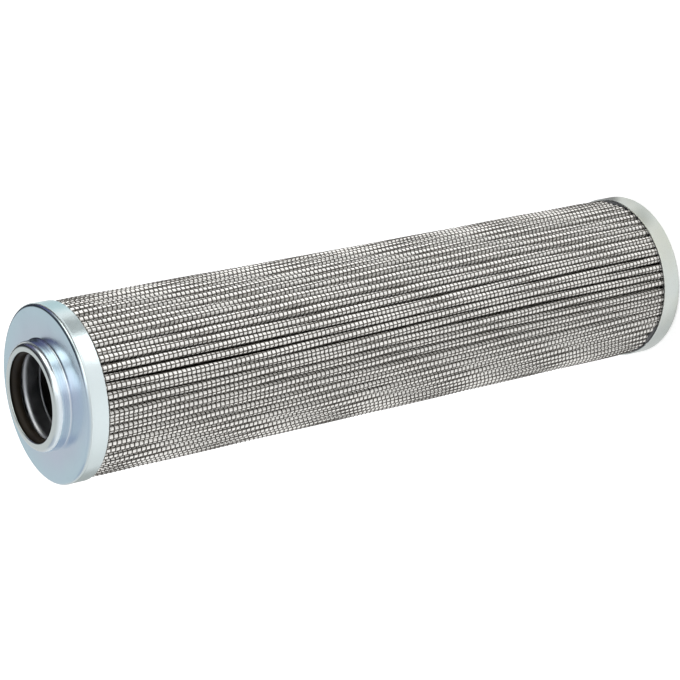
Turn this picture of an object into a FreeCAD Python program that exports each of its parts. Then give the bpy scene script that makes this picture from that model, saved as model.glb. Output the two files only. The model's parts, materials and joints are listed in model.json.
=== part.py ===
import FreeCAD, Part
import math
import os

# Pleated hydraulic filter element, in millimetres.
# It stands on its closed end. Z runs along the axis from the closed end's outer face up to the neck.
# Two pressed steel end caps hold a pleated pack of wire cloth and filter medium round a core tube.
# The front cap has a short neck with a seal ring inside, which slides over a spigot.

# Whole element
element_length = 210.0       # closed face to the top of the neck
cap_diameter = 49.5          # outside of both end caps
cap_sheet = 0.5              # pressed steel of both end caps
cap_edge = 0.35              # bevel that stands for the pressed round at the rim of each face
front_skirt = 5.8            # height of the front cap's skirt
back_skirt = 6.2             # height of the back cap's skirt

# Neck of the front cap
neck_height = 4.8            # above the front cap's face
neck_edge = 0.35             # bevel that stands for the pressed round at the neck's top
lip_fold = 2.0               # the lip is folded back on itself, so it is this many sheets thick
spigot_bore = 24.8           # hole through the lip and through the guide sleeve

# Seal ring in the neck
seal_groove = 3.3            # height of the groove between the lip and the guide sleeve
seal_depth = 2.2             # depth of the groove, from the bore to the neck's wall
seal_section = 3.0           # cord diameter of the seal ring
seal_slack = 0.1             # between the seal ring and the neck's wall
seal_sides = 6               # flats that stand for the seal ring's round section

# Guide sleeve under the seal ring
sleeve_sheet = 0.9
sleeve_length = 6.0
sleeve_slack = 0.05          # between the sleeve's flange and the neck's wall

# Core tube
core_sheet = 0.7
core_slack = 0.1             # between the core tube and the guide sleeve inside it
slot_width = 4.0
slot_height = 30.0
slot_columns = 6
slot_rows = 4
slot_margin = 14.0           # plain tube left at each end

# Pleated pack, from the outside in
pleat_count = 62
pleat_width = 1.5            # of one fold at its crown
crown_bevel = 0.3            # the crown of each fold is three flats
first_pleat = 4.4            # degrees from the front (-Y) towards +X
cloth_sheet = 0.2            # epoxy-coated wire cloth, outside
medium_sheet = 0.2           # glass-fibre medium with its fleeces
inner_cloth_sheet = 0.15     # wire cloth, inside
pack_slack = 0.05            # between the pack and the skirts, and between the pack and the core tube

# Adhesive
bed_sheet = 0.8              # under the pack in each end cap
bed_slack = 0.05             # to the skirts and to the core tube
seam_depth = 3.0             # of the side seam's outer face under the crowns of the folds
seam_slack = 0.02            # between the side seam and the folds on both sides
seam_pleat = 31              # the seam lies after this fold, counted from the first one

# Heights worked out from the sizes above
front_face_z = element_length - neck_height
front_floor_z = front_face_z - cap_sheet
lip_bottom_z = element_length - lip_fold * cap_sheet
sleeve_top_z = lip_bottom_z - seal_groove
sleeve_end_z = sleeve_top_z - sleeve_length
core_top_z = sleeve_top_z - sleeve_sheet
pack_bottom_z = cap_sheet + bed_sheet
pack_top_z = front_floor_z - bed_sheet
pack_length = pack_top_z - pack_bottom_z

# Radii worked out from the sizes above
cap_r = cap_diameter / 2
skirt_r = cap_r - cap_sheet
bore_r = spigot_bore / 2
neck_wall_r = bore_r + seal_depth
neck_r = neck_wall_r + cap_sheet
seal_r = neck_wall_r - seal_slack - seal_section / 2
sleeve_r = bore_r + sleeve_sheet
core_bore_r = sleeve_r + core_slack
core_r = core_bore_r + core_sheet
crown_r = skirt_r - pack_slack
root_r = core_r + pack_slack
pack_sheet = cloth_sheet + medium_sheet + inner_cloth_sheet

V = FreeCAD.Vector
UP = V(0, 0, 1)
ORIGIN = V(0, 0, 0)


def save(name, shape):
    """Writes one piece to its own file."""
    shape.exportStep("parts/" + name + ".step")
    print(name, "volume", round(shape.Volume, 1), "valid", shape.isValid(), "solids", len(shape.Solids))


def closed_wire(points):
    """Straight-sided closed wire through a list of vectors."""
    return Part.makePolygon(points + points[:1])


def turned(outline):
    """Solid of revolution round Z from a closed outline of (radius, height) points."""
    face = Part.Face(closed_wire([V(radius, 0, height) for radius, height in outline]))
    return face.revolve(ORIGIN, UP, 360)


def tube(inner_r, outer_r, bottom_z, top_z):
    """Plain tube round Z."""
    return turned([(inner_r, bottom_z), (outer_r, bottom_z), (outer_r, top_z), (inner_r, top_z)])


def front_end_cap():
    """Pressed pan with a skirt, and a neck whose lip is folded back on itself."""
    return turned([
        (bore_r, lip_bottom_z),
        (bore_r, element_length),
        (neck_r - neck_edge, element_length),
        (neck_r, element_length - neck_edge),
        (neck_r, front_face_z),
        (cap_r - cap_edge, front_face_z),
        (cap_r, front_face_z - cap_edge),
        (cap_r, front_face_z - front_skirt),
        (skirt_r, front_face_z - front_skirt),
        (skirt_r, front_floor_z),
        (neck_wall_r, front_floor_z),
        (neck_wall_r, lip_bottom_z),
    ])


def back_end_cap():
    """Closed pressed pan that the element stands on."""
    return turned([
        (0, 0),
        (cap_r - cap_edge, 0),
        (cap_r, cap_edge),
        (cap_r, back_skirt),
        (skirt_r, back_skirt),
        (skirt_r, cap_sheet),
        (0, cap_sheet),
    ])


def neck_seal_ring():
    """Seal ring that lies in the groove under the lip and stands a little into the bore."""
    middle_z = (lip_bottom_z + sleeve_top_z) / 2
    section_r = seal_section / 2
    turns = [2 * math.pi * side / seal_sides for side in range(seal_sides)]
    return turned([(seal_r + section_r * math.cos(turn), middle_z + section_r * math.sin(turn)) for turn in turns])


def guide_sleeve():
    """Flanged sleeve that closes the seal groove from below and guides the spigot."""
    return turned([
        (bore_r, sleeve_end_z),
        (sleeve_r, sleeve_end_z),
        (sleeve_r, core_top_z),
        (neck_wall_r - sleeve_slack, core_top_z),
        (neck_wall_r - sleeve_slack, sleeve_top_z),
        (bore_r, sleeve_top_z),
    ])


def core_slots():
    """Cutters for the core tube's oil slots, in rows that are turned by half a step from one to the next."""
    cutters = []
    row_pitch = (core_top_z - pack_bottom_z - 2 * slot_margin - slot_height) / (slot_rows - 1)
    step = 360 / slot_columns
    for row in range(slot_rows):
        bottom_z = pack_bottom_z + slot_margin + row * row_pitch
        for column in range(slot_columns):
            cutter = Part.makeBox(2 * core_r, slot_width, slot_height, V(0, -slot_width / 2, bottom_z))
            cutter.rotate(ORIGIN, UP, step * (column + 0.5 * (row % 2)))
            cutters.append(cutter)
    return cutters


def core_tube():
    """Slotted support tube from the back cap's adhesive to the guide sleeve's flange."""
    return tube(core_bore_r, core_r, pack_bottom_z, core_top_z).cut(core_slots())


def crossing(line_a, line_b):
    """Point where two lines meet. A line is (nx, ny, distance): nx * x + ny * y = distance."""
    determinant = line_a[0] * line_b[1] - line_b[0] * line_a[1]
    x = (line_a[2] * line_b[1] - line_b[2] * line_a[1]) / determinant
    y = (line_a[0] * line_b[2] - line_b[0] * line_a[2]) / determinant
    return V(x, y, 0)


def fold_lines(depth):
    """Lines of a fold's crown, right flank and right groove, on the surface that lies depth under the outside.

    The fold points along +Y. On the outside its flanks meet those of the next folds at the bottom of the groove,
    and each deeper surface is the outer one moved in by the same distance everywhere.
    """
    half_turn = math.pi / pleat_count
    groove_r = root_r + pack_sheet
    groove_out = V(math.sin(half_turn), math.cos(half_turn), 0)
    outer_crown = V(pleat_width / 2, crown_r, 0)
    along = (groove_out * groove_r - outer_crown).normalize()
    flank_out = V(-along.y, along.x, 0)
    crown = (0, 1, crown_r - depth)
    flank = (flank_out.x, flank_out.y, outer_crown.dot(flank_out) - depth)
    groove = (groove_out.x, groove_out.y, groove_r - depth)
    return crown, flank, groove


def fold_outline(depth):
    """Points of one fold, up to the next fold's first. The outermost surface has a bevelled crown."""
    crown_line, flank_line, groove_line = fold_lines(depth)
    crown = crossing(crown_line, flank_line)
    groove = crossing(flank_line, groove_line)
    right = [crown, groove]
    if depth == 0:
        along = (groove - crown).normalize()
        right = [crown - V(crown_bevel, 0, 0), crown + along * crown_bevel, groove]
    left = [V(-point.x, point.y, 0) for point in reversed(right)]
    if depth == 0:
        left = left[1:]
    return left + right


def pleated_wire(depth):
    """Closed outline of all folds at one depth under the pack's outside."""
    points = []
    for pleat in range(pleat_count):
        turn = FreeCAD.Rotation(UP, 180 + first_pleat - pleat * 360 / pleat_count)
        points += [turn.multVec(point) for point in fold_outline(depth)]
    return closed_wire(points)


def pleated_layer(depth, sheet):
    """One pleated sheet of the pack, standing on the back cap's adhesive."""
    face = Part.makeFace([pleated_wire(depth), pleated_wire(depth + sheet)], "Part::FaceMakerBullseye")
    face.translate(V(0, 0, pack_bottom_z))
    return face.extrude(V(0, 0, pack_length))


def side_seam():
    """Wedge of adhesive in one groove, which joins the two ends of the pleated pack."""
    half_turn = math.pi / pleat_count
    flank_line = fold_lines(-seam_slack)[1]
    groove_middle = (math.cos(half_turn), -math.sin(half_turn), 0)
    outer_face = (math.sin(half_turn), math.cos(half_turn), crown_r - seam_depth)
    to_groove = FreeCAD.Rotation(UP, math.degrees(half_turn))
    tip = to_groove.multVec(crossing(flank_line, groove_middle))
    corner = to_groove.multVec(crossing(flank_line, outer_face))
    face = Part.Face(closed_wire([tip, corner, V(-corner.x, corner.y, 0)]))
    face.translate(V(0, 0, pack_bottom_z))
    seam = face.extrude(V(0, 0, pack_length))
    seam.rotate(ORIGIN, UP, 180 + first_pleat - (seam_pleat + 0.5) * 360 / pleat_count)
    return seam


def front_adhesive():
    """Ring of adhesive between the pack and the front cap."""
    return tube(core_r + bed_slack, skirt_r - bed_slack, pack_top_z, front_floor_z)


def back_adhesive():
    """Bed of adhesive between the back cap and the pack with its core tube."""
    return Part.makeCylinder(skirt_r - bed_slack, bed_sheet, V(0, 0, cap_sheet))


os.makedirs("parts", exist_ok=True)
save("front_end_cap", front_end_cap())
save("back_end_cap", back_end_cap())
save("neck_seal_ring", neck_seal_ring())
save("guide_sleeve", guide_sleeve())
save("core_tube", core_tube())
save("outer_wire_cloth", pleated_layer(0, cloth_sheet))
save("filter_medium", pleated_layer(cloth_sheet, medium_sheet))
save("inner_wire_cloth", pleated_layer(cloth_sheet + medium_sheet, inner_cloth_sheet))
save("side_seam", side_seam())
save("front_adhesive", front_adhesive())
save("back_adhesive", back_adhesive())
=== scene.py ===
"""Looks of a pleated hydraulic filter element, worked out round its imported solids."""
import json
import logging
import math
from dataclasses import dataclass, replace
from enum import Enum

import bpy
import numpy as np
from mathutils import Matrix, Vector
from numpy.typing import NDArray


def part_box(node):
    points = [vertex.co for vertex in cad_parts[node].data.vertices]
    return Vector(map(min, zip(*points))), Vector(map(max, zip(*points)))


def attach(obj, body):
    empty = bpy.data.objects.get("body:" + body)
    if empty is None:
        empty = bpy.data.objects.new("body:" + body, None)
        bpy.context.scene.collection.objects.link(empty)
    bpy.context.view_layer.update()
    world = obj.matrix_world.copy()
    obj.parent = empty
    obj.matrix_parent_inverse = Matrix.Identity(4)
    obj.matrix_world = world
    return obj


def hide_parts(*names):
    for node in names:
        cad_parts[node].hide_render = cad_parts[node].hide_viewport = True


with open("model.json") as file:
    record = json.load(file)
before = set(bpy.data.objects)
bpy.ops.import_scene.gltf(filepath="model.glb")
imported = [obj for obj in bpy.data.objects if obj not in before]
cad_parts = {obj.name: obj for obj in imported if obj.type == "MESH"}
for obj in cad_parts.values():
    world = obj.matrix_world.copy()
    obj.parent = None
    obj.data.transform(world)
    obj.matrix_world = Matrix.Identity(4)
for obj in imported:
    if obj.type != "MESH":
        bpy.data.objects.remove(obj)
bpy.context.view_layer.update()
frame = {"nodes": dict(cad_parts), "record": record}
ROOT = "root"
MM = 0.001
TINY = 1e-9
FULL_TURN = 2 * math.pi
QUARTER_TURN = 0.5 * math.pi
CORNERS = 3

Array = NDArray[np.float64]
Numbers = NDArray[np.int64]
Span = tuple[float, float]
Triple = tuple[float, float, float]
Colour = Triple
Piece = bpy.types.Object
Material = bpy.types.Material
Node = bpy.types.Node
NodeTree = bpy.types.NodeTree
Socket = bpy.types.NodeSocket
UP = np.array([0.0, 0.0, 1.0])
WHITE: Colour = (1.0, 1.0, 1.0)
BLACK: Colour = (0.0, 0.0, 0.0)
log = logging.getLogger("filter_element")


class Slot(Enum):
    """Material slots of the record."""

    ZINC_CAP = "zinc_cap"
    ZINC_SLEEVE = "zinc_sleeve"
    SEAL_RUBBER = "seal_rubber"
    COATED_WIRE = "coated_wire"
    GLASS_FIBRE = "glass_fibre"
    INNER_WIRE = "inner_wire"
    ADHESIVE = "adhesive"


class Sizes:
    """Sizes of the element in millimetres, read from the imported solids."""

    flange_slack = 0.05
    lip_drop = 0.4

    def __init__(self) -> None:
        """Works the sizes out. The photograph shows the lip a little lower than the solid has it."""
        front_low, front_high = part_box("front_end_cap")
        sleeve_low, sleeve_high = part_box("guide_sleeve")
        seal_low, seal_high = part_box("neck_seal_ring")
        bed_low, bed_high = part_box("front_adhesive")
        foot_low, foot_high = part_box("back_adhesive")
        bore = next(mount for mount in frame["record"]["mounts"] if mount["name"] == "spigot_bore")
        self.sheet = foot_low.z / MM
        self.cap_r = front_high.x / MM
        self.skirt_r = self.cap_r - self.sheet
        self.bore_r = bore["dims"]["r_mm"]
        self.flange_r = sleeve_high.x / MM
        self.neck_wall_r = self.flange_r + self.flange_slack
        self.neck_r = self.neck_wall_r + self.sheet
        self.seal_out_r = seal_high.x / MM
        self.top_z = front_high.z / MM
        self.lip_z = self.top_z - self.lip_drop
        self.face_z = bed_high.z / MM + self.sheet
        self.front_skirt_z = front_low.z / MM
        self.back_skirt_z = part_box("back_end_cap")[1].z / MM
        self.sleeve_top_z = sleeve_high.z / MM
        self.sleeve_end_z = sleeve_low.z / MM
        self.seal_middle_z = (seal_low.z + seal_high.z) / 2 / MM
        self.pack_low_z = foot_high.z / MM
        self.pack_high_z = bed_low.z / MM


SIZES = Sizes()


def grid_quads(rows: int, columns: int, closed: bool = True) -> Numbers:
    """Faces of a grid of points that is numbered row by row, with its last column joined to the first.

    Args:
        rows: Number of rows.
        columns: Number of columns.
        closed: Whether the last row joins the first too.

    Returns:
        Quads as rows of four point numbers, turned from rows towards columns.
    """
    number = np.arange(rows * columns).reshape(rows, columns)
    number = np.concatenate([number, number[:, :1]], axis=1)
    if closed:
        number = np.concatenate([number, number[:1]])
    corners = [number[:-1, :-1], number[:-1, 1:], number[1:, 1:], number[1:, :-1]]
    return np.stack([corner.ravel() for corner in corners], axis=1)


def build_piece(name: str, points: Array, quads: Numbers, triangles: Numbers | None = None) -> Piece:
    """Puts whole arrays of points and faces into a new mesh object at the origin.

    Args:
        name: Name of the piece.
        points: Points in millimetres, with x, y and z on the last axis.
        quads: Four-sided faces as point numbers.
        triangles: Three-sided faces, where the piece has any.

    Returns:
        The new object, with smooth faces.
    """
    points = points.reshape(-1, 3) * MM
    triangles = np.zeros((0, 3), int) if triangles is None else triangles
    corners = np.concatenate([quads.ravel(), triangles.ravel()]).astype(np.int32)
    sizes = np.concatenate([np.full(len(quads), 4), np.full(len(triangles), 3)])
    mesh = bpy.data.meshes.new(name)
    mesh.vertices.add(len(points))
    mesh.vertices.foreach_set("co", points.astype(np.float32).ravel())
    mesh.loops.add(len(corners))
    mesh.loops.foreach_set("vertex_index", corners)
    mesh.polygons.add(len(sizes))
    mesh.polygons.foreach_set("loop_start", (np.cumsum(sizes) - sizes).astype(np.int32))
    mesh.polygons.foreach_set("use_smooth", np.ones(len(sizes), bool))
    mesh.update(calc_edges=True)
    mesh.validate()
    piece = bpy.data.objects.new(name, mesh)
    bpy.context.scene.collection.objects.link(piece)
    return piece


def settle(piece: Piece, slot: Slot, material: Material, *nodes: str) -> None:
    """Dresses a finished piece, hides the solids that it stands for, and lets it ride on the body.

    Args:
        piece: The finished piece.
        slot: Material slot of the record; not used.
        material: Its material.
        nodes: Solids that the piece stands for.
    """
    piece.data.materials.append(material)
    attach(piece, ROOT)
    if nodes:
        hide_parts(*nodes)
    log.info("%s: %d triangles", piece.name, len(piece.data.loops) - 2 * len(piece.data.polygons))


def dress_solid(node: str, material: Material) -> None:
    """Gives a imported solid, which keeps its own mesh, a new material.

    Args:
        node: Name of the solid.
        material: Its material.
    """
    solid = frame["nodes"][node]
    solid.data.materials.clear()
    solid.data.materials.append(material)
    log.info("%s: dressed", node)


def unit(vectors: Array) -> Array:
    """Vectors of the same directions and of length 1."""
    return vectors / np.maximum(np.linalg.norm(vectors, axis=-1, keepdims=True), TINY)


def steps_round(count: int) -> Array:
    """Even steps round a full turn, in radians."""
    return np.arange(count) * FULL_TURN / count


def turned_points(radius: Array, height: Array, turn: Array, aside: Array | float = 0.0) -> Array:
    """Points (r sin t + a cos t, a sin t - r cos t, z), so that turns run from the front towards +X."""
    sine, cosine = np.sin(turn), np.cos(turn)
    return np.stack([radius * sine + aside * cosine, aside * sine - radius * cosine, height], axis=-1)


def rounded_outline(corners: list[Triple], steps: int = 7, support: float = 0.12, share: float = 0.3) -> Array:
    """Closed outline with a round at each corner.

    Formula: a round of radius R at a corner of half angle A touches both sides at R / tan A from the corner, and
    its centre lies R / sin A along the halving line. A point of support on each straight side keeps it flat.

    Args:
        corners: Corners as (radius from the axis, height, radius of the round).
        steps: Straight steps in each round.
        support: Distance of the points of support from the rounds.
        share: Greatest share of a straight side between a round and its point of support.

    Returns:
        Points of the outline in rows of two.
    """
    table = np.asarray(corners, float)
    place, radii = table[:, :2], table[:, 2:]
    back = np.roll(place, 1, axis=0) - place
    ahead = np.roll(place, -1, axis=0) - place
    ahead_length = np.linalg.norm(ahead, axis=1, keepdims=True)
    back, ahead = unit(back), unit(ahead)
    half = 0.5 * np.arccos(np.clip((back * ahead).sum(1, keepdims=True), -1, 1))
    reach = radii / np.tan(half)
    centre = place + unit(back + ahead) * radii / np.sin(half)
    first, last = place + back * reach - centre, place + ahead * reach - centre
    turn = np.arctan2(first[:, 0] * last[:, 1] - first[:, 1] * last[:, 0], (first * last).sum(1))
    angle = turn[:, None] * np.linspace(0, 1, steps + 1)
    round_x = centre[:, :1] + first[:, :1] * np.cos(angle) - first[:, 1:] * np.sin(angle)
    round_y = centre[:, 1:] + first[:, :1] * np.sin(angle) + first[:, 1:] * np.cos(angle)
    room_ahead = np.minimum(support, share * (ahead_length - reach - np.roll(reach, -1, axis=0)))
    entry = place + back * (reach + np.roll(room_ahead, 1, axis=0))
    leave = place + ahead * (reach + room_ahead)
    rounds = np.stack([round_x, round_y], axis=2)
    return np.concatenate([entry[:, None], rounds, leave[:, None]], axis=1).reshape(-1, 2)


def turned_piece(name: str, outline: Array, segments: int) -> Piece:
    """Solid of revolution from a closed outline that stays off the axis, with its faces outwards.

    Args:
        name: Name of the piece.
        outline: Points of the outline as (radius, height).
        segments: Steps in the full turn.

    Returns:
        The new object.
    """
    area = np.sum(outline[:, 0] * np.roll(outline[:, 1], -1) - np.roll(outline[:, 0], -1) * outline[:, 1])
    outline = outline if area > 0 else outline[::-1]
    radius, turn = np.meshgrid(outline[:, 0], steps_round(segments), indexing="ij")
    height = np.broadcast_to(outline[:, 1:], radius.shape)
    return build_piece(name, turned_points(radius, height, turn), grid_quads(len(outline), segments))


@dataclass(frozen=True)
class Wave:
    """Sine wave that runs round the element a number of times, and leans along it where it has a length."""

    size: float
    count: int
    length: float = math.inf
    start: float = 0.0

    def at(self, around: Array, height: Array | float) -> Array:
        """Value at a turn in radians and a height in millimetres."""
        return self.size * np.sin(self.count * around + height / self.length + self.start)


def wave_sum(waves: tuple[Wave, ...], around: Array, height: Array | float = 0.0) -> Array:
    """Sum of several waves at the same place."""
    return sum(wave.at(around, height) for wave in waves)


@dataclass(frozen=True)
class FoldedPack:
    """Course of the folds, shared by every sheet of the pleated pack. Angles run from the front towards +X."""

    count: int = 62
    crown_r: float = 24.03
    root_r: float = 15.0
    half_flat: float = 0.13
    corner: float = 0.85
    phase_deg: float = 4.2
    twist_deg: float = 1.55
    twist_low_z: float = 40.0
    twist_high_z: float = 180.0
    lean_deg: tuple[Wave, ...] = (Wave(0.55, 6, 36, 1.0), Wave(0.38, 17, -24, 0.4), Wave(0.24, 27, 15, 2.2))
    bulge: float = 0.13
    bulge_reach: float = 9.0
    uneven: tuple[Wave, ...] = (Wave(0.08, 23, 40), Wave(0.05, 11, -19))
    cell: float = 1.413
    drift_length: float = 35.6
    fold_shift: float = 0.09
    probe: float = 0.05

    @property
    def corner_end(self) -> float:
        """Distance on the sheet from a fold's middle to the end of its round corner."""
        return self.half_flat + QUARTER_TURN * self.corner

    @property
    def half_length(self) -> float:
        """Distance on the sheet from a fold's middle to the bottom of the groove."""
        return self.corner_end + self.crown_r - self.corner - self.root_r

    def arcs(self, beyond: float) -> Array:
        """Places across a fold, as distances on the sheet: its flat, its corners and one place beyond them."""
        right = np.array([self.half_flat, 0.5 * (self.half_flat + self.corner_end), self.corner_end, beyond])
        return np.concatenate([-right[::-1], [0.0], right])

    def crown_angle(self, fold: Array, height: Array) -> Array:
        """Angle of a fold's crown.

        Formula: even spacing, plus a slow twist along the pack as half a cosine wave, plus small sine waves of the
        fold's place and the height, by which the folds lean and wander.

        Args:
            fold: Fold numbers, halves for the grooves between the folds.
            height: Heights in millimetres.

        Returns:
            Angles in radians.
        """
        along = np.clip((height - self.twist_low_z) / (self.twist_high_z - self.twist_low_z), 0, 1)
        even = self.phase_deg + fold * (360 / self.count) + self.twist_deg * np.cos(math.pi * along)
        return np.radians(even + wave_sum(self.lean_deg, FULL_TURN * fold / self.count, height))

    def groove_angle(self, groove: Array, height: Array) -> Array:
        """Angle of the groove halfway between the crowns on both sides of it."""
        return (self.crown_angle(groove - 0.5, height) + self.crown_angle(groove + 0.5, height)) / 2

    def crown_radius(self, fold: Array, height: Array) -> Array:
        """Radius of the crowns: held in by both skirts, a little fuller and uneven between them.

        Args:
            fold: Fold numbers.
            height: Heights in millimetres.

        Returns:
            Radii in millimetres.
        """
        low = np.clip((height - SIZES.back_skirt_z) / self.bulge_reach, 0, 1)
        high = np.clip((SIZES.front_skirt_z - height) / self.bulge_reach, 0, 1)
        free = np.sin(QUARTER_TURN * low) * np.sin(QUARTER_TURN * high)
        return self.crown_r + free * (self.bulge + wave_sum(self.uneven, FULL_TURN * fold / self.count, height))

    def cell_offset(self, fold: Array, height: Array) -> Array:
        """Cells by which the lengthwise wires move on with the fold, counted from the front, and lean with height."""
        from_front = (fold + self.count / 2) % self.count - self.count / 2
        return self.fold_shift * from_front - height / self.drift_length

    def place(self, fold: Array, arc: Array, height: Array, lift: Array | float) -> Array:
        """Points on a sheet of the pack.

        Formula: from a fold's middle the sheet runs flat, then round a corner of a quarter turn, then straight
        down to the bottom of the groove. A lift moves it outwards by the same distance everywhere.

        Args:
            fold: Fold numbers.
            arc: Distances from the fold's middle, measured on the sheet, in millimetres.
            height: Heights in millimetres.
            lift: Distance outside the middle of the outer wire cloth, in millimetres.

        Returns:
            Points in millimetres, with x, y and z on the last axis.
        """
        fold, arc, height, lift = np.broadcast_arrays(fold, arc, height, lift)
        side = np.where(arc < 0, -1.0, 1.0)
        reach = np.abs(arc)
        bend = np.clip((reach - self.half_flat) / self.corner, 0, QUARTER_TURN)
        sideways = side * (np.minimum(reach, self.half_flat) + (self.corner + lift) * np.sin(bend))
        radius = self.crown_radius(fold, height) - self.corner + (self.corner + lift) * np.cos(bend)
        crown = self.crown_angle(fold, height)
        groove = self.groove_angle(fold + 0.5 * side, height)
        top = turned_points(radius, height, crown, sideways)
        root = turned_points(self.root_r + lift, height, groove, -side * np.maximum(-lift, 0.0))
        down = np.clip((reach - self.corner_end) / (self.half_length - self.corner_end), 0, 1)
        return top + down[..., None] * (root - top)

    def outwards(self, fold: Array, arc: Array, height: Array, lift: Array) -> Array:
        """Unit vectors square to the sheet, from the difference of two lifts."""
        return unit(self.place(fold, arc, height, lift + self.probe) - self.place(fold, arc, height, lift))


PACK = FoldedPack()
FOLDS = np.arange(PACK.count, dtype=float)


@dataclass
class OuterWireCloth:
    """Woven wire round the outside of the pack: wires round the folds and wires along them.

    Within the open cells on both sides of a fold's middle, the two kinds cross over and under each other. Deeper in
    the grooves the wires along the folds are plain, with points only at every so many round wires.
    """

    material: Material
    round_half_width: float = 0.215
    long_half_width: float = 0.157
    round_top: float = 0.12
    long_top: float = 0.09
    wire_base: float = 0.03
    crimp: float = 0.04
    hidden: float = 1.0
    parts_round: int = 3
    parts_along: int = 2
    flank_start: float = 0.8
    open_cells: float = 2.0
    deep_step: int = 11
    deep_margin: float = 0.3

    def heights(self) -> Array:
        """Heights of the wires that run round the pack, one cell apart, with one hidden in each skirt."""
        low, high = SIZES.back_skirt_z - self.hidden, SIZES.front_skirt_z + self.hidden
        return low + PACK.cell * np.arange(int((high - low) / PACK.cell) + 1)

    def rings(self, centre: Array, outwards: Array, across: Array, half_width: float, top: float) -> Array:
        """Points round a wire: each section is a triangle with its point outwards and its base in the medium.

        Args:
            centre: Points along the wires.
            outwards: Unit vectors away from the pack.
            across: Unit vectors along the sheet, square to the wire.
            half_width: Half of the section's base.
            top: Height of the section's point over the centre.

        Returns:
            Points with one more axis, for the corners of the section.
        """
        out_part = np.array([top, -self.wire_base, -self.wire_base])[:, None] * outwards[..., None, :]
        side_part = np.array([0.0, half_width, -half_width])[:, None] * across[..., None, :]
        return centre[..., None, :] + out_part + side_part

    def round_wires(self, name: str, number: Numbers) -> Piece:
        """Wires that run round the pack, down into each groove and up again.

        Formula: at a distance s from a fold's middle the wire swings out and in as the cosine of half a turn per
        cell, against the wires that it crosses.

        Args:
            name: Name of the piece.
            number: Numbers of the wires in this piece, counted from the closed end.

        Returns:
            The new object.
        """
        arc = np.append(PACK.arcs(PACK.corner_end + self.flank_start), PACK.half_length)
        height = self.heights()[number][:, None, None]
        fold = FOLDS[:, None]
        cells = arc / PACK.cell - PACK.cell_offset(fold, height)
        near = np.clip((self.open_cells * PACK.cell - np.abs(arc)) / PACK.cell, 0, 1)
        lift = self.crimp * near * np.cos(math.pi * (cells + number[:, None, None]))
        centre = PACK.place(fold, arc, height, lift)
        points = self.rings(centre, PACK.outwards(fold, arc, height, lift), UP, self.round_half_width, self.round_top)
        steps = PACK.count * len(arc)
        one = grid_quads(steps, CORNERS)[:, ::-1]
        quads = np.arange(len(number))[:, None, None] * steps * CORNERS + one
        return build_piece(name, points, quads.reshape(-1, 4))

    def long_wires(self, name: str, heights: Array, rows: Numbers, near: float, far: float, crimp: float) -> Piece:
        """Wires that run along the folds, where they lie between two distances from the fold's middle.

        Formula: wire k of a fold lies k cells plus the fold's own offset from the fold's middle, and crosses each
        round wire on the other side of the sheet from the one before. Each stretch is closed at both ends.

        Args:
            name: Name of the piece.
            heights: Heights of the points along the wires.
            rows: Numbers of the round wires at these heights.
            near: Least distance from the fold's middle, in cells.
            far: Greatest distance from the fold's middle, in cells.
            crimp: How far the wires swing out and in.

        Returns:
            The new object.
        """
        fold = FOLDS[:, None, None]
        shift = PACK.cell_offset(fold, heights)
        wire = np.arange(math.floor(-far - shift.max()), math.ceil(far - shift.min()) + 1, dtype=float)[:, None]
        cells = wire + shift
        inside = (np.abs(cells) >= near) & (np.abs(cells) < far)
        lift = -crimp * np.cos(math.pi * (wire + rows))
        arc = cells * PACK.cell
        outwards = PACK.outwards(fold, arc, heights, lift)
        across = unit(np.stack([-outwards[..., 1], outwards[..., 0], 0 * outwards[..., 0]], axis=-1))
        points = self.rings(PACK.place(fold, arc, heights, lift), outwards, across, self.long_half_width, self.long_top)
        number = np.arange(inside.size).reshape(inside.shape)
        shown = inside[..., :-1] & inside[..., 1:]
        side = np.arange(CORNERS)
        low = number[..., :-1][shown][:, None] * CORNERS + side
        high = low + CORNERS
        quads = np.stack([low, np.roll(low, -1, 1), np.roll(high, -1, 1), high], axis=-1)
        none = np.zeros_like(shown[..., :1])
        before = np.concatenate([none, shown[..., :-1]], axis=-1)
        after = np.concatenate([shown[..., 1:], none], axis=-1)
        foot = number[..., :-1][shown & ~before][:, None] * CORNERS + side[::-1]
        head = number[..., 1:][shown & ~after][:, None] * CORNERS + side
        used, index = np.unique(np.concatenate([quads.ravel(), foot.ravel(), head.ravel()]), return_inverse=True)
        quads, triangles = index[:quads.size].reshape(-1, 4), index[quads.size:].reshape(-1, 3)
        return build_piece(name, points.reshape(-1, 3)[used], quads, triangles)

    def build(self) -> None:
        """Builds the cloth in pieces that stay under the limit of triangles."""
        heights = self.heights()
        number = np.arange(len(heights))
        pieces = []
        for part, rows in enumerate(np.array_split(number, self.parts_round), 1):
            pieces.append(self.round_wires(f"outer_cloth_round_wires_{part}", rows))
        for part, rows in enumerate(np.array_split(number[:-1], self.parts_along), 1):
            rows = np.append(rows, rows[-1] + 1)
            pieces.append(self.long_wires(f"outer_cloth_long_wires_{part}", heights[rows], rows, 0.0,
                                          self.open_cells, self.crimp))
        rows = np.unique(np.append(number[::self.deep_step], number[-1]))
        far = PACK.half_length / PACK.cell - self.deep_margin
        pieces.append(self.long_wires("outer_cloth_deep_wires", heights[rows], 0 * rows, self.open_cells, far, 0.0))
        for piece in pieces:
            settle(piece, Slot.COATED_WIRE, self.material, "outer_wire_cloth")


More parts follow.
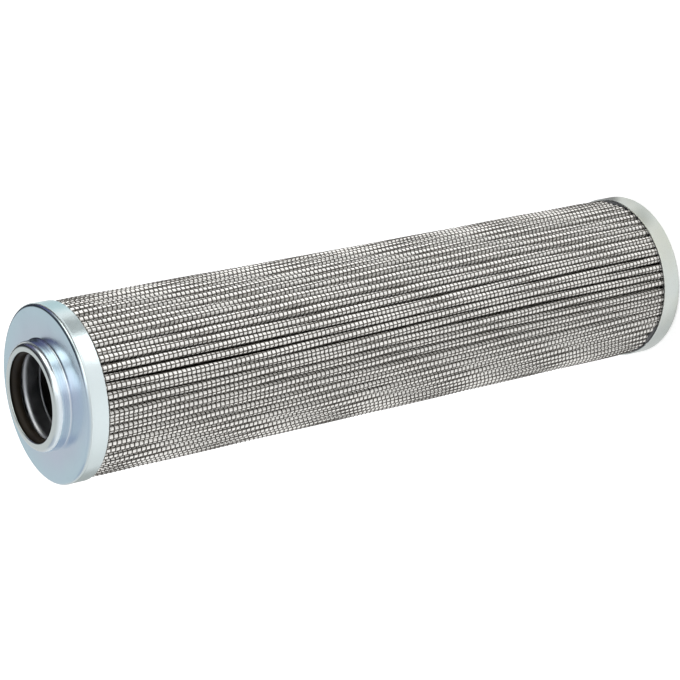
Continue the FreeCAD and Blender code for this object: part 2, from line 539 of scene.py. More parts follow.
@dataclass
class PleatedSheet:
    """A plain sheet of the pack, closed at both ends."""

    name: str
    slot: Slot
    material: Material
    solid: str
    outer_lift: float
    inner_lift: float
    rows: int

    def build(self) -> None:
        """Builds the sheet.

        Formula: the outside and the inside are the pack's surface at two lifts, sampled at the same places, and
        their ends are joined by strips.
        """
        arc = PACK.arcs(PACK.half_length)
        height = np.linspace(SIZES.pack_low_z, SIZES.pack_high_z, self.rows)[:, None, None]
        sides = [PACK.place(FOLDS[:, None], arc, height, self.outer_lift),
                 PACK.place(FOLDS[:, None], arc, height[::-1], self.inner_lift)]
        quads = grid_quads(2 * self.rows, PACK.count * len(arc))
        settle(build_piece(self.name, np.concatenate(sides), quads), self.slot, self.material, self.solid)


@dataclass
class SideSeam:
    """Wedge of adhesive in the groove behind, where the two ends of the pleated pack meet."""

    material: Material
    fold: int = 30
    depth: float = 3.0
    lift: float = 0.02
    rows: int = 40

    def build(self) -> None:
        """Builds the wedge along its wandering groove.

        Formula: its section is a triangle from the groove's bottom to one point on the flank on each side.
        """
        height = np.linspace(SIZES.pack_low_z, SIZES.pack_high_z, self.rows)[:, None]
        reach = PACK.corner_end + self.depth - PACK.corner
        folds = np.array([self.fold, self.fold, self.fold + 1.0])
        points = PACK.place(folds, np.array([PACK.half_length, reach, -reach]), height, self.lift)
        last = CORNERS * (self.rows - 1)
        ends = np.array([[2, 1, 0], [last, last + 1, last + 2]])
        quads = grid_quads(self.rows, CORNERS, False)[:, ::-1]
        settle(build_piece("side_seam_wedge", points, quads, ends), Slot.ADHESIVE, self.material, "side_seam")


class Nodes:
    """Short way to add and join the nodes of one node tree.

    The Mix node's colour sockets have the names of others, so they are found by number.
    """

    mix_colours = (6, 7)
    mix_result = 2

    def __init__(self, tree: NodeTree) -> None:
        """Keeps the tree."""
        self.tree = tree

    def set(self, node: Node, name: str | int, value: object) -> None:
        """Sets or joins one input of a node.

        Args:
            node: The node.
            name: Name or number of the input.
            value: Value or output socket.
        """
        socket = node.inputs[name]
        if isinstance(value, Socket):
            self.tree.links.new(value, socket)
        else:
            socket.default_value = value

    def fill(self, node: Node, **inputs: object) -> Node:
        """Sets or joins several inputs of a node.

        Args:
            node: The node.
            inputs: Values or output sockets, by name with _ for each space.

        Returns:
            The same node.
        """
        for key, value in inputs.items():
            self.set(node, key.replace("_", " "), value)
        return node

    def add(self, kind: str, settings: dict | None = None, **inputs: object) -> Node:
        """Adds a node.

        Args:
            kind: Name of the node's type.
            settings: Properties of the node.
            inputs: Values or output sockets, as for fill.

        Returns:
            The new node.
        """
        node = self.tree.nodes.new(kind)
        for key, value in (settings or {}).items():
            setattr(node, key, value)
        return self.fill(node, **inputs)

    def work_out(self, operation: str, *values: object, kind: str = "ShaderNodeMath") -> Node:
        """Adds a Math node, or another kind that has an operation.

        Args:
            operation: Its operation.
            values: Values or output sockets for its inputs, in order.
            kind: Name of the node's type.

        Returns:
            The new node.
        """
        node = self.add(kind, {"operation": operation})
        for place, value in enumerate(values):
            self.set(node, place, value)
        return node

    def times(self, first: object, second: object) -> Socket:
        """Product of two numbers."""
        return self.work_out("MULTIPLY", first, second).outputs[0]

    def vector(self, operation: str, *values: object) -> Node:
        """Adds a Vector Math node."""
        return self.work_out(operation, *values, kind="ShaderNodeVectorMath")

    def ramp(self, value: Socket, low: object, high: object, start: float = 0.0, end: float = 1.0,
             shape: str = "LINEAR") -> Socket:
        """Result that goes from start to end as the value goes from low to high, and stays there beyond."""
        return self.add("ShaderNodeMapRange", {"interpolation_type": shape}, Value=value, From_Min=low, From_Max=high,
                        To_Min=start, To_Max=end).outputs["Result"]

    def blend(self, mask: Socket | float, low: object, high: object, kind: str = "MIX") -> Socket:
        """Blends two colours, or sockets, by a mask.

        Args:
            mask: Share of the second one.
            low: First colour.
            high: Second colour.
            kind: Blend type.

        Returns:
            The blended colour.
        """
        mix = self.add("ShaderNodeMix", {"data_type": "RGBA", "blend_type": kind}, Factor=mask)
        for place, value in zip(self.mix_colours, (low, high)):
            self.set(mix, place, (*value, 1.0) if isinstance(value, tuple) else value)
        return mix.outputs[self.mix_result]

    def group(self, tree: NodeTree, **inputs: object) -> Socket:
        """Places a shared group with its own values, and gives its result."""
        return self.add("ShaderNodeGroup", {"node_tree": tree}, **inputs).outputs[0]

    def bump(self, height: Socket, strength: Socket | float, distance: float, **normal: Socket) -> Socket:
        """Turns a height into a normal, on top of another Normal where one is given."""
        node = self.add("ShaderNodeBump", Strength=strength, Distance=distance, Height=height, **normal)
        return node.outputs["Normal"]


def shader_group(name: str, output: str, **inputs: float | None) -> tuple[Nodes, Node, Node]:
    """Starts a shader node group.

    Args:
        name: Name of the group.
        output: Name of its one output, a number.
        inputs: Default values of its inputs, by name with _ for each space, and None for a vector.

    Returns:
        The group's nodes, and its input and output node.
    """
    group = bpy.data.node_groups.new(name, "ShaderNodeTree")
    for label, value in inputs.items():
        kind = "NodeSocketVector" if value is None else "NodeSocketFloat"
        socket = group.interface.new_socket(label.replace("_", " "), in_out="INPUT", socket_type=kind)
        if value is not None:
            socket.default_value = value
    group.interface.new_socket(output, in_out="OUTPUT", socket_type="NodeSocketFloat")
    nodes = Nodes(group)
    return nodes, nodes.add("NodeGroupInput"), nodes.add("NodeGroupOutput")


def mottle_group() -> NodeTree:
    """Soft cloudy mask: noise stretched to a chosen contrast round its middle.

    Returns:
        The group.
    """
    nodes, entry, leave = shader_group("cloudy_mask", "Mask", Vector=None, Scale=100.0, Low=0.35, High=0.65)
    noise = nodes.add("ShaderNodeTexNoise", Vector=entry.outputs["Vector"], Scale=entry.outputs["Scale"], Detail=4.0,
                      Roughness=0.6)
    nodes.fill(leave, Mask=nodes.ramp(noise.outputs["Fac"], entry.outputs["Low"], entry.outputs["High"]))
    return nodes.tree


def grain_group() -> NodeTree:
    """Fine grain: two layers of noise, one coarse and one five times finer, as a height for a bump.

    Returns:
        The group.
    """
    finer = 5.0
    nodes, entry, leave = shader_group("fine_grain", "Height", Vector=None, Scale=1500.0, Fine_Share=0.4)
    where, scale = entry.outputs["Vector"], entry.outputs["Scale"]
    coarse = nodes.add("ShaderNodeTexNoise", Vector=where, Scale=scale, Detail=3.0)
    fine = nodes.add("ShaderNodeTexNoise", Vector=where, Scale=nodes.times(scale, finer), Detail=2.0)
    both = nodes.add("ShaderNodeMix", {"data_type": "FLOAT"}, Factor=entry.outputs["Fine Share"],
                     A=coarse.outputs["Fac"], B=fine.outputs["Fac"])
    nodes.fill(leave, Height=both.outputs["Result"])
    return nodes.tree


def axis_distance_group() -> NodeTree:
    """Distance from the element's axis: the root of x squared plus y squared.

    Returns:
        The group.
    """
    nodes, entry, leave = shader_group("axis_distance", "Distance", Vector=None)
    flat = nodes.vector("MULTIPLY", entry.outputs["Vector"], (1.0, 1.0, 0.0))
    nodes.fill(leave, Distance=nodes.vector("LENGTH", flat.outputs[0]).outputs["Value"])
    return nodes.tree


def turned_marks_group() -> NodeTree:
    """Fine rings round the axis, as pressing and polishing leave them: noise of the axis distance and the height.

    Returns:
        The group.
    """
    nodes, entry, leave = shader_group("turned_marks", "Height", Distance=0.0, Vector=None, Fineness=4000.0)
    parts = nodes.add("ShaderNodeSeparateXYZ", Vector=entry.outputs["Vector"])
    flat = nodes.add("ShaderNodeCombineXYZ", X=entry.outputs["Distance"], Y=parts.outputs["Z"])
    noise = nodes.add("ShaderNodeTexNoise", Vector=flat.outputs[0], Scale=entry.outputs["Fineness"], Detail=3.0)
    nodes.fill(leave, Height=noise.outputs["Fac"])
    return nodes.tree


class SharedGroups:
    """The node groups that several finishes use, built once."""

    def __init__(self) -> None:
        """Builds the groups."""
        self.mottle = mottle_group()
        self.grain = grain_group()
        self.distance = axis_distance_group()
        self.marks = turned_marks_group()


GROUPS = SharedGroups()


def new_material(name: str) -> tuple[Material, Nodes, Node, Socket]:
    """Starts a material.

    Args:
        name: Name of the material.

    Returns:
        The material, its nodes, its Principled BSDF and its Object coordinates.
    """
    material = bpy.data.materials.new(name)
    material.use_nodes = True
    nodes = Nodes(material.node_tree)
    surface = material.node_tree.nodes["Principled BSDF"]
    return material, nodes, surface, nodes.add("ShaderNodeTexCoord").outputs["Object"]


def clouds(nodes: Nodes, where: Socket, scale: float, low: float = 0.35, high: float = 0.70) -> Socket:
    """Cloudy mask of a scale, from nothing at one level of the noise to full at another."""
    return nodes.group(GROUPS.mottle, Vector=where, Scale=scale, Low=low, High=high)


@dataclass(frozen=True)
class ZincFinish:
    """Bright zinc plate. Its colour differs on the skirt, the face, the neck and the lip: partly the tint of its clear
    chromate film and partly painted reflection, with the face bluer and the neck paler for the light that they reflect.

    The bounds of each tint are distances in millimetres from the cap's face, the neck's outside or the lip's top.
    Clouds are given by their scale and the two levels of the noise between which they rise.
    """

    name: str
    skirt: Colour
    face: Colour
    face_middle: Colour
    neck: Colour
    lip: Colour
    drift: Colour
    drift_low: float = 0.1
    drift_high: float = 0.6
    roughness_low: float = 0.18
    roughness_high: float = 0.28
    face_bounds: Span = (-0.7, -0.05)
    neck_bounds: Span = (0.1, 0.5)
    wall_bounds: Span = (-1.8, -1.4)
    lip_bounds: Span = (-1.0, -0.2)
    face_margin: float = 2.0
    drift_clouds: Triple = (26.0, 0.48, 0.70)
    rough_clouds: Triple = (75.0, 0.42, 0.75)
    dent_clouds: Triple = (170.0, 0.0, 1.0)
    dent_strength: float = 0.35
    dent_depth: float = 0.0003
    streak_fineness: float = 900.0
    streak_strength: float = 0.5
    streak_depth: float = 0.0002
    ring_fineness: float = 3500.0
    ring_strength: float = 0.05
    ring_depth: float = 0.00005

    def material(self) -> Material:
        """Builds the material.

        Returns:
            The material, whose colour follows the height and the axis distance, with painted reflection in it, and
            drifts in soft clouds.
        """
        material, nodes, surface, where = new_material(self.name)
        height = nodes.add("ShaderNodeSeparateXYZ", Vector=where).outputs["Z"]
        distance = nodes.group(GROUPS.distance, Vector=where)
        at_face, at_neck, at_wall, at_top = (
            nodes.ramp(value, (middle + bounds[0]) * MM, (middle + bounds[1]) * MM) for value, middle, bounds in (
                (height, SIZES.face_z, self.face_bounds), (height, SIZES.face_z, self.neck_bounds),
                (distance, SIZES.neck_r, self.wall_bounds), (height, SIZES.lip_z, self.lip_bounds)))
        at_edge = nodes.ramp(distance, (SIZES.neck_r + self.face_margin) * MM, (SIZES.cap_r - self.face_margin) * MM)
        # Painted reflection: the face's blue, its change towards the rim and the neck's pale colour stand in for
        # reflected light.
        low = nodes.blend(at_face, self.skirt, nodes.blend(at_edge, self.face_middle, self.face))
        high = nodes.blend(at_wall, self.lip, nodes.blend(at_top, self.neck, self.lip))
        tint = nodes.blend(at_neck, low, high)
        on_face = nodes.work_out("SUBTRACT", at_face, at_neck).outputs[0]
        share = nodes.times(clouds(nodes, where, *self.drift_clouds),
                            nodes.ramp(on_face, 0.0, 1.0, self.drift_low, self.drift_high))
        wash = nodes.blend(share, WHITE, self.drift)
        rough = nodes.ramp(clouds(nodes, where, *self.rough_clouds), 0.0, 1.0, self.roughness_low,
                           self.roughness_high)
        rings, streaks = (nodes.group(GROUPS.marks, Distance=distance, Vector=where, Fineness=fineness)
                          for fineness in (self.ring_fineness, self.streak_fineness))
        dented = nodes.bump(clouds(nodes, where, *self.dent_clouds), self.dent_strength, self.dent_depth)
        on_neck = nodes.times(nodes.times(at_neck, at_wall), self.streak_strength)
        streaked = nodes.bump(streaks, on_neck, self.streak_depth, Normal=dented)
        ringed = nodes.bump(rings, self.ring_strength, self.ring_depth, Normal=streaked)
        nodes.fill(surface, Base_Color=nodes.blend(1.0, tint, wash, "MULTIPLY"), Metallic=1.0, Roughness=rough,
                   Normal=ringed)
        return material


@dataclass(frozen=True)
class GrainyFinish:
    """A finish of two near tones in soft clouds, with fine grain."""

    name: str
    low: Colour
    high: Colour
    cloud_scale: float
    grain_scale: float
    grain_depth: float
    smoothest: float
    roughest: float
    metallic: float = 0.0
    specular: float = 0.5
    grain_strength: float = 0.3
    fine_share: float = 0.4

    def material(self) -> Material:
        """Builds the material.

        Returns:
            The material, whose roughness follows the clouds where it varies.
        """
        material, nodes, surface, where = new_material(self.name)
        cloud = clouds(nodes, where, self.cloud_scale)
        rough = self.roughest
        if self.smoothest < rough:
            rough = nodes.ramp(cloud, 0.0, 1.0, self.smoothest, rough)
        grain = nodes.group(GROUPS.grain, Vector=where, Scale=self.grain_scale, Fine_Share=self.fine_share)
        nodes.fill(surface, Base_Color=nodes.blend(cloud, self.low, self.high), Metallic=self.metallic,
                   Specular_IOR_Level=self.specular, Roughness=rough,
                   Normal=nodes.bump(grain, self.grain_strength, self.grain_depth))
        return material


# The front cap's face, face middle, neck and lip colours are partly painted reflection: a bluer face and a paler neck.
FRONT_ZINC = ZincFinish("zinc_plate_front", skirt=(0.63, 0.71, 0.72), face=(0.445, 0.58, 0.655),
                        face_middle=(0.462, 0.548, 0.632), neck=(0.80, 0.895, 0.95), lip=(0.53, 0.59, 0.59),
                        drift=(1.02, 0.89, 1.01))
BACK_ZINC = ZincFinish("zinc_plate_back", drift=(0.98, 0.94, 0.84), drift_low=0.7,
                       **dict.fromkeys(("skirt", "face", "face_middle", "neck", "lip"), (0.66, 0.70, 0.68)))
# Name, two tones, scale of the clouds, scale and depth of the grain, least and greatest roughness.
# The sleeve's blue-grey tones are painted reflection, for the bluish light seen in the bore's mouth.
SLEEVE_ZINC = GrainyFinish("zinc_sleeve", (0.39, 0.41, 0.44), (0.49, 0.51, 0.54), 150.0, 2500.0, 0.00002, 0.30, 0.48,
                           metallic=1.0)
SEAL_RUBBER = GrainyFinish("seal_rubber", (0.008, 0.006, 0.004), (0.016, 0.012, 0.008), 500.0, 4000.0, 0.00003, 0.47,
                           0.65, specular=0.22)
# Near black, darker than steel: painted shade, standing for the dark deep inside the bore.
SHADED_CORE_STEEL = GrainyFinish("core_steel", (0.030, 0.030, 0.028), (0.06, 0.06, 0.055), 200.0, 2500.0, 0.00004, 0.42,
                          0.6, metallic=0.4)
CURED_ADHESIVE = GrainyFinish("cured_adhesive", (0.030, 0.032, 0.036), (0.09, 0.09, 0.095), 250.0, 1500.0, 0.0001,
                              0.27, 0.45)
COATED_WIRE = GrainyFinish("coated_wire", (0.045, 0.040, 0.033), (0.105, 0.092, 0.078), 420.0, 6000.0, 0.00004, 0.32,
                           0.57, grain_strength=0.25)
INNER_WIRE = replace(COATED_WIRE, name="inner_wire")
GLASS_FIBRE = GrainyFinish("glass_fibre", (0.87, 0.86, 0.83), (0.77, 0.76, 0.73), 900.0, 5000.0, 0.00008, 0.85, 0.85,
                           specular=0.25, grain_strength=0.4, fine_share=0.5)


@dataclass
class FrontEnd:
    """Front cap with its neck, the seal ring and the guide sleeve in it."""

    zinc: Material
    sleeve_zinc: Material
    rubber: Material
    lip_round: float = 0.28
    lip_width: float = 0.9
    lip_fall: float = 1.15
    lip_crest: float = 1.3
    neck_round: float = 2.3
    seal_seat: float = 1.6
    foot_round: float = 0.5
    rim_round: float = 1.0
    step_low: float = 1.45
    step_slope: float = 0.25
    step_depth: float = 0.05
    step_round: float = 0.3
    edge_round: float = 0.12
    cap_segments: int = 256
    seal_r: float = 1.5
    seal_steps: int = 28
    bore_segments: int = 160
    mouth_round: float = 1.8
    sleeve_sheet: float = 0.9
    flange_round: float = 0.1
    end_bead: float = 0.12
    bead_low: float = 0.4
    bead_high: float = 0.75
    bead_rounds: tuple[float, ...] = (0.3, 0.25, 0.15, 0.2)

    def cap(self) -> None:
        """Pressed cap: its outline runs round the folded lip, the neck, the face and the skirt."""
        under_lip_z = SIZES.top_z - 2 * SIZES.sheet
        floor_z = SIZES.face_z - SIZES.sheet
        step_r, step_z = SIZES.cap_r - self.step_depth, SIZES.face_z - self.step_low
        outline = rounded_outline([
            (SIZES.bore_r, under_lip_z, self.lip_round),
            (SIZES.bore_r, SIZES.lip_z, self.lip_round),
            (SIZES.neck_r - self.lip_width, SIZES.lip_z, self.lip_crest),
            (SIZES.neck_r, SIZES.lip_z - self.lip_fall, self.neck_round),
            (SIZES.neck_r, SIZES.face_z, self.foot_round),
            (SIZES.cap_r, SIZES.face_z, self.rim_round),
            (SIZES.cap_r, step_z + self.step_slope, self.step_round),
            (step_r, step_z, self.step_round),
            (step_r, SIZES.front_skirt_z, self.edge_round),
            (SIZES.skirt_r, SIZES.front_skirt_z, self.edge_round),
            (SIZES.skirt_r, floor_z, self.edge_round),
            (SIZES.neck_wall_r, floor_z, self.edge_round),
            (SIZES.neck_wall_r, under_lip_z, self.seal_seat),
        ])
        settle(turned_piece("front_cap_pressing", outline, self.cap_segments), Slot.ZINC_CAP, self.zinc,
               "front_end_cap")

    def seal(self) -> None:
        """Seal ring. Formula: a circle of the cord's radius, carried round the axis."""
        turn = steps_round(self.seal_steps)
        middle = SIZES.seal_out_r - self.seal_r
        outline = np.stack([middle + self.seal_r * np.cos(turn),
                            SIZES.seal_middle_z + self.seal_r * np.sin(turn)], axis=1)
        settle(turned_piece("neck_seal_cord", outline, self.bore_segments), Slot.SEAL_RUBBER, self.rubber,
               "neck_seal_ring")

    def sleeve(self) -> None:
        """Guide sleeve with a rounded mouth, a flange and a small bead at its end."""
        outer, bead_r = SIZES.bore_r + self.sleeve_sheet, SIZES.bore_r - self.end_bead
        end_z, flange_z = SIZES.sleeve_end_z, SIZES.sleeve_top_z - self.sleeve_sheet
        bead = [(SIZES.bore_r, end_z + self.bead_high), (bead_r, end_z + self.bead_low), (bead_r, end_z),
                (outer, end_z)]
        outline = rounded_outline([(*corner, size) for corner, size in zip(bead, self.bead_rounds)] + [
            (outer, flange_z, self.flange_round),
            (SIZES.flange_r, flange_z, self.flange_round),
            (SIZES.flange_r, SIZES.sleeve_top_z, self.flange_round),
            (SIZES.bore_r, SIZES.sleeve_top_z, self.mouth_round),
        ])
        settle(turned_piece("guide_sleeve_pressing", outline, self.bore_segments), Slot.ZINC_SLEEVE,
               self.sleeve_zinc, "guide_sleeve")

    def build(self) -> None:
        """Builds the three pieces."""
        self.cap()
        self.seal()
        self.sleeve()


@dataclass
class BackEnd:
    """Closed cap with the adhesive that was squeezed out at its edge.

    The bead's section is given as radius, share of the bead's height and offset of the height, and each of its
    lumps as turn and width in degrees and height.
    """

    zinc: Material
    adhesive: Material
    face_round: float = 0.7
    edge_round: float = 0.15
    pole_round: float = 0.02
    hub_r: float = 0.5
    cap_segments: int = 256
    waviness: float = 0.12
    wavy_from_z: float = 2.0
    edge_rest: float = 0.5
    edge_waves: tuple[Wave, ...] = (Wave(0.3, 5, start=1.0), Wave(0.2, 13))
    bead_segments: int = 512
    bead_rest: float = -0.5
    bead_waves: tuple[Wave, ...] = (Wave(0.12, 7), Wave(0.08, 19, start=1.0), Wave(0.05, 43))
    bead_lumps: tuple[Triple, ...] = ((70.0, 9.0, 1.2), (304.0, 6.0, 1.9), (282.0, 9.0, 0.9), (190.0, 16.0, 1.0))
    bead_section: tuple[Triple, ...] = (
        (22.9, 0.0, -1.2), (24.2, 0.0, -1.2), (24.22, 0.1, 0.0), (24.3, 0.55, 0.05), (24.12, 0.9, 0.05),
        (23.6, 1.0, 0.0), (22.9, 0.7, 0.0))

    def cap(self) -> None:
        """Closed pressing, whose outline runs from the outer face's middle round the skirt to the inner one's."""
        outline = rounded_outline([
            (0.0, 0.0, self.pole_round),
            (SIZES.cap_r, 0.0, self.face_round),
            (SIZES.cap_r, SIZES.back_skirt_z, self.edge_round),
            (SIZES.skirt_r, SIZES.back_skirt_z, self.edge_round),
            (SIZES.skirt_r, SIZES.sheet, self.edge_round),
            (0.0, SIZES.sheet, self.pole_round),
        ])
        settle(self.closed_pan("back_cap_pressing", outline), Slot.ZINC_CAP, self.zinc, "back_end_cap")

    def closed_pan(self, name: str, outline: Array) -> Piece:
        """Solid of revolution whose two faces meet the axis, each closed with a fan of triangles.

        Formula: the height falls by the waviness times a sum of two sine waves of the turn, in full at the
        skirt's edge and not at all near the face.

        Args:
            name: Name of the piece.
            outline: Points of the outline as (radius, height).

        Returns:
            The new object.
        """
        outline = outline[outline[:, 0] > self.hub_r]
        count = self.cap_segments
        radius, turn = np.meshgrid(outline[:, 0], steps_round(count), indexing="ij")
        share = np.clip((outline[:, 1:] - self.wavy_from_z) / (SIZES.back_skirt_z - self.wavy_from_z), 0, 1)
        height = outline[:, 1:] - self.waviness * share * (self.edge_rest + wave_sum(self.edge_waves, turn))
        poles = outline[[0, -1], 1][:, None] * UP
        points = np.concatenate([turned_points(radius, height, turn).reshape(-1, 3), poles])
        ring = np.arange(count)
        after = np.roll(ring, -1)
        last = (len(outline) - 1) * count
        foot = np.stack([after, ring, np.full(count, len(points) - 2)], axis=1)
        head = np.stack([last + ring, last + after, np.full(count, len(points) - 1)], axis=1)
        return build_piece(name, points, grid_quads(len(outline), count, False), np.concatenate([foot, head]))

    def bead(self) -> None:
        """Adhesive squeezed out between the skirt and the cloth.

        Formula: its height over the skirt's edge is a low uneven ripple plus bell curves of the turn, where more
        of it came out.
        """
        turn = steps_round(self.bead_segments)
        height = self.bead_rest + wave_sum(self.bead_waves, turn)
        for middle, width, size in self.bead_lumps:
            height = height + size * np.exp(-0.5 * ((np.degrees(turn) - middle) / width) ** 2)
        radius, share, offset = np.array(self.bead_section).T[..., None]
        points = turned_points(radius, SIZES.back_skirt_z + offset + share * height, turn)
        quads = grid_quads(len(radius), len(turn))
        settle(build_piece("back_glue_bead", points, quads), Slot.ADHESIVE, self.adhesive)

    def build(self) -> None:
        """Builds both pieces."""
        self.cap()
        self.bead()


@dataclass(frozen=True)
class SkyMark:
    """A place in the surroundings with another colour.

    Its middle has a turn from the front (-Y) towards +X and a rise over the horizon. The colour is full within the
    core and gone beyond the reach. A band also has its axis and two angles from its great circle. All in degrees.
    """

    colour: Colour
    turn: float
    rise: float
    core: float
    reach: float
    axis: Triple | None = None
    axis_core: float = 0.0
    axis_reach: float = 0.0

    def direction(self) -> Triple:
        """Unit vector towards the middle of the mark."""
        turn, rise = math.radians(self.turn), math.radians(self.rise)
        return math.cos(rise) * math.sin(turn), -math.cos(rise) * math.cos(turn), math.sin(rise)

    def mask(self, nodes: Nodes, where: Socket) -> Socket:
        """Mask by the angle from the middle, which in a band also narrows to the circle square to its axis.

        Args:
            nodes: Nodes of the world.
            where: Direction of the ray.

        Returns:
            The mask.
        """
        angles = (self.core, self.reach, self.axis_core, self.axis_reach)
        core, reach, axis_core, axis_reach = map(math.radians, angles)
        along = nodes.vector("DOT_PRODUCT", where, self.direction()).outputs["Value"]
        near = nodes.ramp(along, math.cos(reach), math.cos(core), shape="SMOOTHSTEP")
        if self.axis is None:
            return near
        off_band = nodes.vector("DOT_PRODUCT", where, self.axis).outputs["Value"]
        off_band = nodes.work_out("ABSOLUTE", off_band).outputs[0]
        narrow = nodes.ramp(off_band, math.sin(axis_core), math.sin(axis_reach), 1.0, 0.0, "SMOOTHSTEP")
        return nodes.times(near, narrow)


@dataclass(frozen=True)
class FloorMark:
    """A round place on the floor with another brightness, which only reflections see."""

    colour: Colour
    x: float
    y: float
    core: float
    reach: float

    def mask(self, nodes: Nodes, where: Socket) -> Socket:
        """Mask that is full inside the core and falls smoothly to nothing at the reach."""
        away = nodes.vector("DISTANCE", where, (self.x, self.y, 0.0)).outputs["Value"]
        return nodes.ramp(away, self.core, self.reach, 1.0, 0.0, "SMOOTHSTEP")


@dataclass(frozen=True)
class SoftLamp:
    """Round soft lamp that looks at the pack and isn't seen in reflections, in metres and watts."""

    name: str
    place: Triple
    size: float
    power: float
    target: Triple = (0.0, 0.0, 0.1)

    def build(self) -> None:
        """Hangs the lamp."""
        data = bpy.data.lights.new(self.name, "AREA")
        data.shape = "DISK"
        data.size = self.size
        data.energy = self.power
        lamp = bpy.data.objects.new(self.name, data)
        lamp.location = self.place
        lamp.rotation_euler = (Vector(self.target) - Vector(self.place)).to_track_quat("-Z", "Y").to_euler()
        lamp.visible_camera = False
        lamp.visible_glossy = False
        bpy.context.scene.collection.objects.link(lamp)


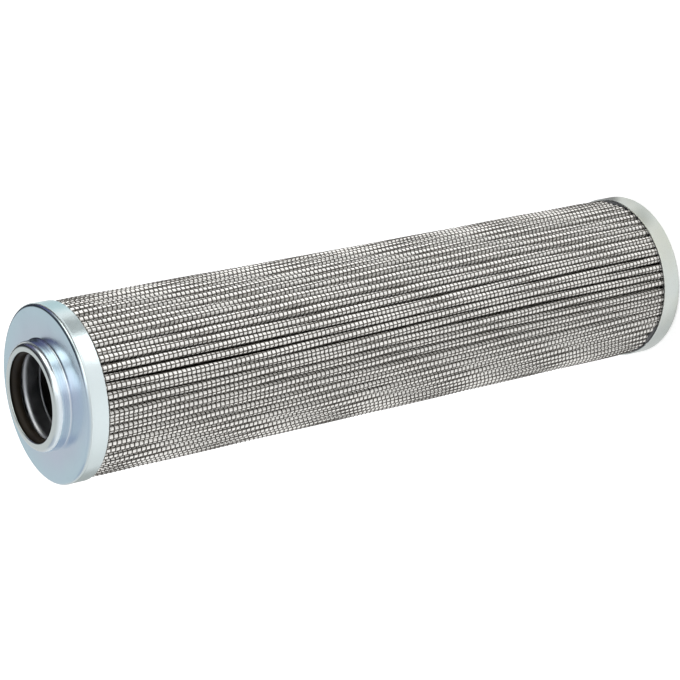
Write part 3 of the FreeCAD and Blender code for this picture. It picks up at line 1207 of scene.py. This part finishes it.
@dataclass
class Studio:
    """Floor, lights and camera, seen from the photograph's angle.

    Each row of the sky and of the ground holds the fields of its mark in their order.
    """

    camera_place: Triple = (0.0, -0.559501, 0.470980)
    camera_right: Triple = (-0.20304297, -0.53133971, -0.82246682)
    camera_up: Triple = (0.97916607, -0.10785142, -0.17205198)
    camera_back: Triple = (0.00271384, -0.84026554, 0.54216829)
    lens_mm: float = 121.97
    sensor_mm: float = 36.0
    floor_size: float = 12.0
    floor_drop: float = 0.0002
    floor_roughness: float = 0.9
    floor_base: float = 0.85
    floor_shown: float = 0.4
    floor_reflected: float = 0.08
    world_level: float = 0.88
    lamps: tuple[SoftLamp, ...] = (
        SoftLamp("key_lamp", (1.12, -0.30, 0.60), 0.6, 11.6),
        SoftLamp("side_lamp", (-0.85, -0.78, 0.60), 0.5, 6.0),
    )
    camera_side: SkyMark = SkyMark((0.10,) * 3, 0, 35, 15, 52)
    sky: tuple[SkyMark, ...] = tuple(SkyMark(*row) for row in (
        ((2.45, 2.4, 2.2), 76, 26, 8, 22),
        ((1.95, 1.95, 1.80), 24, 26, 10, 28.5),
        ((1.65,) * 3, 13, 52, 14, 26, (0.974, 0.225, 0.0), 2, 20),
        ((1.08,) * 3, 4, 2, 10, 22),
        ((0.60, 0.63, 0.72), -125, 24, 8, 22),
        ((0.22, 0.27, 0.30), 150, 18, 8, 24),
        ((0.16, 0.14, 0.33), 127, 18, 8, 22),
        ((0.10, 0.10, 0.11), 114, 50, 12, 26),
        ((0.10, 0.10, 0.11), 146, 58, 8, 18),
        ((0.18, 0.18, 0.19), 85, 62, 12, 24),
        ((0.05, 0.05, 0.06), 102, 2, 56, 74, (0.0, 0.0, 1.0), 7, 17),
        ((0.04, 0.04, 0.05), 152.8, 33.7, 37, 60, (0.918, -0.3725, -0.136), 7, 20),
    ))
    ground: tuple[FloorMark, ...] = tuple(FloorMark(*row) for row in (
        ((0.55, 0.70, 0.73), 0.28, 0.29, 0.08, 0.26),
        ((0.32, 0.33, 0.33), 0.412, -0.070, 0.05, 0.20),
        ((0.46, 0.48, 0.47), -0.20, 0.34, 0.10, 0.26),
        ((0.36,) * 3, 0.0283, 0.001, 0.003, 0.008),
        ((0.66, 0.67, 0.66), 0.0238, -0.0203, 0.002, 0.009),
        ((1.01,) * 3, 0.255, -0.31, 0.0, 0.15),
        ((1.5,) * 3, 0.32, -0.245, 0.03, 0.135),
        ((0.08, 0.08, 0.09), 2.55, 0.3, 1.75, 1.95),
    ))

    def camera(self) -> None:
        """Camera turned by the three directions of its own frame."""
        data = bpy.data.cameras.new("photo_camera")
        data.lens = self.lens_mm
        data.sensor_width = self.sensor_mm
        camera = bpy.data.objects.new("photo_camera", data)
        turn = Matrix((self.camera_right, self.camera_up, self.camera_back)).transposed().to_4x4()
        camera.matrix_world = Matrix.Translation(Vector(self.camera_place)) @ turn
        bpy.context.scene.collection.objects.link(camera)
        bpy.context.scene.camera = camera

    def floor(self) -> None:
        """White floor that shows near white to the camera and keeps the shadow.

        Reflections see it with its marks, which stand for the darker and brighter places round a studio. A mark
        over white glows, and any other has its own base colour.
        """
        half = self.floor_size / 2
        mesh = bpy.data.meshes.new("studio_floor")
        mesh.from_pydata([(-half, -half, 0), (half, -half, 0), (half, half, 0), (-half, half, 0)], [], [(0, 1, 2, 3)])
        floor = bpy.data.objects.new("studio_floor", mesh)
        floor.location.z = -self.floor_drop
        bpy.context.scene.collection.objects.link(floor)
        material, nodes, surface, where = new_material("studio_floor")
        path = nodes.add("ShaderNodeLightPath")
        white = (self.floor_base,) * 3
        base, glow = white, (self.floor_reflected,) * 3
        for mark in self.ground:
            mask = mark.mask(nodes, where)
            bright = max(mark.colour) > 1
            base = nodes.blend(mask, base, white if bright else mark.colour)
            glow = nodes.blend(mask, glow, mark.colour if bright else BLACK)
        glossy = path.outputs["Is Glossy Ray"]
        shown = nodes.blend(path.outputs["Is Camera Ray"], BLACK, (self.floor_shown,) * 3)
        nodes.fill(surface, Base_Color=nodes.blend(glossy, white, base), Roughness=self.floor_roughness,
                   Emission_Color=nodes.blend(glossy, shown, glow), Emission_Strength=1.0)
        mesh.materials.append(material)

    def world(self) -> None:
        """Soft white surroundings, pure white to the camera.

        They light the object less from the camera's side, and only reflections see the marks of the sky.
        """
        world = bpy.data.worlds.new("studio_world")
        world.use_nodes = True
        bpy.context.scene.world = world
        nodes = Nodes(world.node_tree)
        background = world.node_tree.nodes["Background"]
        path = nodes.add("ShaderNodeLightPath")
        where = nodes.add("ShaderNodeTexCoord").outputs["Generated"]
        level = (self.world_level,) * 3
        marked = level
        for mark in self.sky:
            marked = nodes.blend(mark.mask(nodes, where), marked, mark.colour)
        plain = nodes.blend(self.camera_side.mask(nodes, where), level, self.camera_side.colour)
        plain = nodes.blend(path.outputs["Is Camera Ray"], plain, WHITE)
        nodes.fill(background, Color=nodes.blend(path.outputs["Is Glossy Ray"], plain, marked))

    def build(self) -> None:
        """Sets up the whole studio."""
        self.camera()
        self.floor()
        self.world()
        for lamp in self.lamps:
            lamp.build()
        bpy.context.scene.view_settings.view_transform = "Standard"


def main() -> None:
    """Builds every sub-assembly in order."""
    logging.basicConfig(level=logging.INFO, format="%(name)s %(message)s")
    Studio().build()
    adhesive = CURED_ADHESIVE.material()
    FrontEnd(FRONT_ZINC.material(), SLEEVE_ZINC.material(), SEAL_RUBBER.material()).build()
    BackEnd(BACK_ZINC.material(), adhesive).build()
    OuterWireCloth(COATED_WIRE.material()).build()
    SideSeam(adhesive).build()
    PleatedSheet("pleated_medium", Slot.GLASS_FIBRE, GLASS_FIBRE.material(), "filter_medium",
                 outer_lift=-0.05, inner_lift=-0.33, rows=30).build()
    PleatedSheet("inner_cloth_folds", Slot.INNER_WIRE, INNER_WIRE.material(), "inner_wire_cloth",
                 outer_lift=-0.35, inner_lift=-0.45, rows=14).build()
    dress_solid("core_tube", SHADED_CORE_STEEL.material())
    dress_solid("front_adhesive", adhesive)
    dress_solid("back_adhesive", adhesive)


if __name__ == "__main__":
    main()
